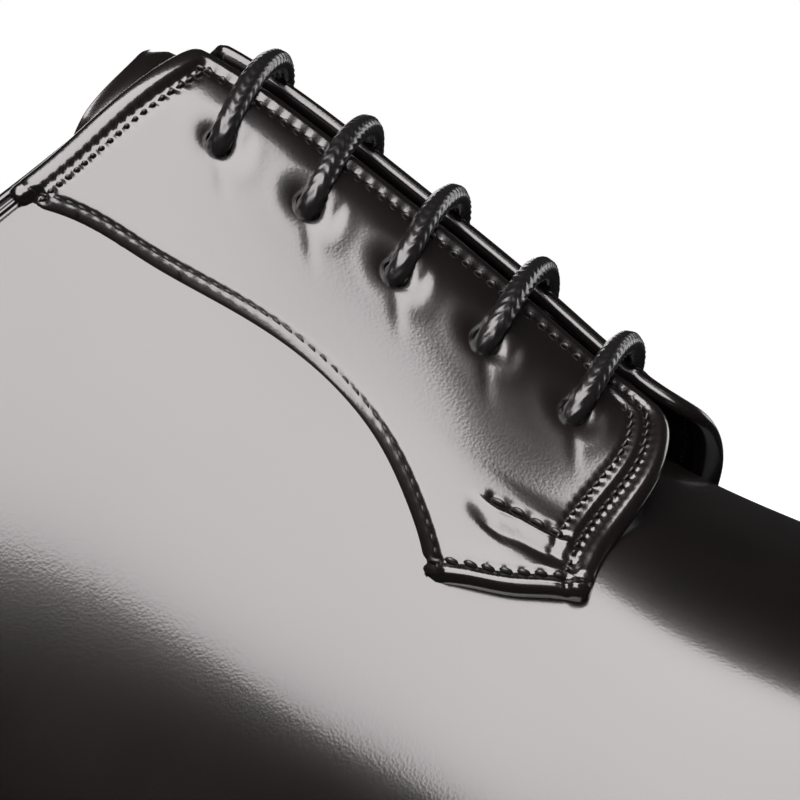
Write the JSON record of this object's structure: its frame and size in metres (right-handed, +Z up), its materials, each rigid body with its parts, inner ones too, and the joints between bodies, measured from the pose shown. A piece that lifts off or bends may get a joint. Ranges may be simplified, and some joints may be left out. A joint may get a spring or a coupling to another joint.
{
  "type": "derby shoe",
  "caption": "Plain right derby shoe in polished black leather: open lacing with stitched facings over a one-piece vamp and quarters, waxed round laces, welted leather sole and stacked heel.",
  "frame": {"origin": "on the floor, under the middle of the shoe's overall box", "axes": "+X from heel to toe, +Y to the inner side of the right foot, +Z up from the floor"},
  "size_m": [0.2968, 0.1066, 0.1202],
  "materials": {
    "upper_leather": "polished high-shine calf, near black, fine grain",
    "lining_leather": "plain tan lining leather, matt",
    "sole_leather": "oak-bark sole leather, edges inked black and burnished",
    "top_piece_rubber": "matt black rubber",
    "lace_cotton": "round braided cotton, waxed black"
  },
  "bodies": {
    "root": {"upper": "upper_leather", "tongue": "upper_leather", "facing_lateral": "upper_leather", "facing_medial": "upper_leather", "insole": "lining_leather", "welt": "sole_leather", "outsole": "sole_leather", "heel_lift_1": "sole_leather", "heel_lift_2": "sole_leather", "heel_lift_3": "sole_leather", "heel_top_piece": "top_piece_rubber", "lace_bar_1": "lace_cotton", "lace_bar_2": "lace_cotton", "lace_bar_3": "lace_cotton", "lace_bar_4": "lace_cotton", "lace_bar_5": "lace_cotton"}
  },
  "joints": []
}
